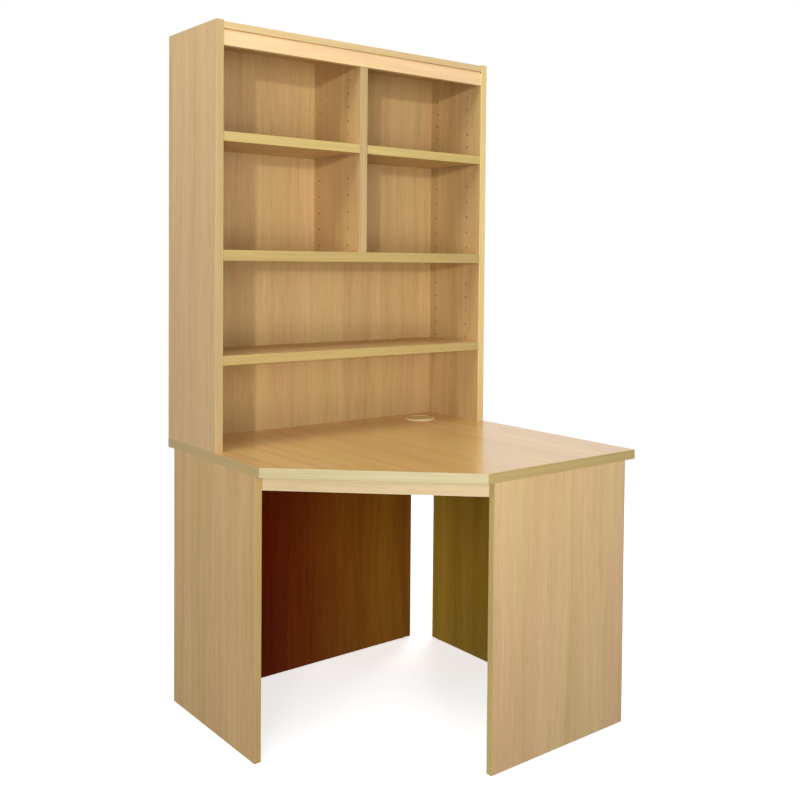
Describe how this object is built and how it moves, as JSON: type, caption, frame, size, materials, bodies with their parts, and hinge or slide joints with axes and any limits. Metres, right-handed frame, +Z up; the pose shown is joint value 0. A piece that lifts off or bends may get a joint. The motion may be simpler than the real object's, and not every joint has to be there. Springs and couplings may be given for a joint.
{
  "type": "corner desk",
  "caption": "Corner desk with a cut front corner, panel legs, a cable port and a tall open shelf unit standing on one side.",
  "frame": {"origin": "on the floor, at the centre of the square that the desk stands in", "axes": "+Z up; +Y to the wall behind the shelf unit, +X to the other wall of the room's corner, and the user sits in the -X -Y corner"},
  "size_m": [0.91, 0.91, 1.84],
  "materials": {
    "board": "melamine-faced chipboard, light oak print, satin with a fine pore texture",
    "edging": "2 mm plastic edging, light oak print, satin, rounded arris",
    "port_plastic": "moulded plastic, beige, satin",
    "block_plastic": "moulded plastic, light brown",
    "dowel_wood": "beech dowel, bare",
    "screw_steel": "zinc plated, dull",
    "cam_zinc": "die-cast zinc, dull",
    "bolt_steel": "zinc plated, dull",
    "glide_plastic": "moulded polyethylene, brown",
    "pin_steel": "nickel plated, satin"
  },
  "bodies": {
    "desk": {"desktop": "board", "end_panel_left": "board", "end_panel_right": "board", "back_panel_rear": "board", "back_panel_side": "board", "front_rail": "board", "hutch_side_left": "board", "hutch_side_right": "board", "hutch_top": "board", "hutch_back": "board", "lower_shelf": "board", "middle_shelf": "board", "hutch_rail": "board", "divider": "board", "desktop_edging_rear": "edging", "desktop_edging_left": "edging", "desktop_edging_front": "edging", "desktop_edging_right": "edging", "desktop_edging_wall_side": "edging", "front_rail_edging": "edging", "end_panel_left_edging": "edging", "end_panel_right_edging": "edging", "back_panel_rear_edging": "edging", "back_panel_side_edging": "edging", "hutch_side_left_edging": "edging", "hutch_side_right_edging": "edging", "hutch_top_edging": "edging", "lower_shelf_edging": "edging", "middle_shelf_edging": "edging", "hutch_rail_edging": "edging", "divider_edging": "edging", "rail_block_left": "block_plastic", "rail_block_right": "block_plastic", "cable_port_liner": "port_plastic", "desk_dowels": "dowel_wood", "hutch_dowels": "dowel_wood", "rail_screws": "screw_steel", "hutch_screws": "screw_steel", "desk_cams": "cam_zinc", "hutch_cams": "cam_zinc", "desk_cam_bolts": "bolt_steel", "hutch_cam_bolts": "bolt_steel", "floor_glides": "glide_plastic", "shelf_pins_left": "pin_steel", "shelf_pins_right": "pin_steel"},
    "cap": {"cable_port_cap": "port_plastic"},
    "left_shelf": {"loose_shelf_left": "board", "loose_shelf_left_edging": "edging"},
    "right_shelf": {"loose_shelf_right": "board", "loose_shelf_right_edging": "edging"}
  },
  "joints": [
    {"name": "cap_lift", "type": "slide", "parent": "desk", "child": "cap", "axis": [0, 0, 1], "range_m": [0, 0.05]},
    {"name": "left_shelf_slide", "type": "slide", "parent": "desk", "child": "left_shelf", "axis": [0, -1, 0], "range_m": [0, 0.2]},
    {"name": "right_shelf_slide", "type": "slide", "parent": "desk", "child": "right_shelf", "axis": [0, -1, 0], "range_m": [0, 0.2]}
  ]
}
